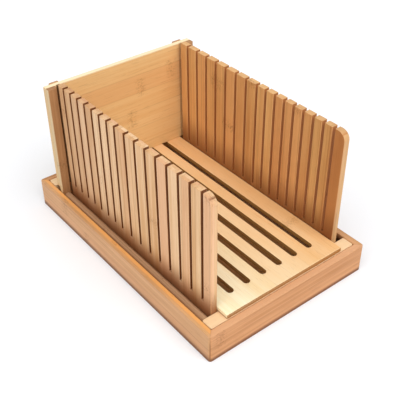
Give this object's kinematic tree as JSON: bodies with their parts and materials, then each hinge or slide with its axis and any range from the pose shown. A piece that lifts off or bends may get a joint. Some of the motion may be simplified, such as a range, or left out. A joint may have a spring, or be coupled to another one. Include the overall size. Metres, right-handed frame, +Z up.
{
  "type": "bread slicer guide",
  "caption": "Bamboo bread slicing guide: slotted side panels and a back stop round a slotted board, standing in a lift-out crumb tray.",
  "frame": {"origin": "centre of the crumb tray's underside, on the surface the tray stands on", "axes": "+Z up, +Y from the open front to the back stop along the loaf, +X to the right seen from the front"},
  "size_m": [0.1934, 0.297, 0.158],
  "materials": {
    "tray_bamboo": "oiled bamboo, satin",
    "floor_bamboo": "oiled bamboo, satin",
    "frame_bamboo": "oiled bamboo, satin",
    "dowel_wood": "plain wood",
    "board_bamboo": "oiled bamboo, satin",
    "guide_bamboo": "oiled bamboo, satin",
    "back_board_bamboo": "oiled bamboo, satin",
    "post_bamboo": "oiled bamboo, satin"
  },
  "bodies": {
    "tray": {"tray_front_wall": "tray_bamboo", "tray_back_wall": "tray_bamboo", "tray_left_wall": "tray_bamboo", "tray_right_wall": "tray_bamboo", "tray_floor": "floor_bamboo"},
    "slicer_frame": {"front_rail": "frame_bamboo", "back_rail": "frame_bamboo", "left_runner": "frame_bamboo", "right_runner": "frame_bamboo", "left_side_rail": "frame_bamboo", "right_side_rail": "frame_bamboo", "frame_dowels": "dowel_wood"},
    "slotted_board": {"slotted_board": "board_bamboo"},
    "left_guide": {"left_guide": "guide_bamboo"},
    "right_guide": {"right_guide": "guide_bamboo"},
    "back_stop": {"back_board": "back_board_bamboo", "left_post": "post_bamboo", "right_post": "post_bamboo", "left_rear_batten": "post_bamboo", "right_rear_batten": "post_bamboo"}
  },
  "joints": [
    {"name": "slicer_lift", "type": "slide", "parent": "tray", "child": "slicer_frame", "axis": [0, 0, 1], "range_m": [0, 0.05]},
    {"name": "board_slide", "type": "slide", "parent": "slicer_frame", "child": "slotted_board", "axis": [0, -1, 0], "range_m": [0, 0.29]},
    {"name": "left_guide_lift", "type": "slide", "parent": "slicer_frame", "child": "left_guide", "axis": [0, 0, 1], "range_m": [0, 0.15]},
    {"name": "right_guide_lift", "type": "slide", "parent": "slicer_frame", "child": "right_guide", "axis": [0, 0, 1], "range_m": [0, 0.15]},
    {"name": "back_stop_lift", "type": "slide", "parent": "slicer_frame", "child": "back_stop", "axis": [0, 0, 1], "range_m": [0, 0.145]}
  ]
}
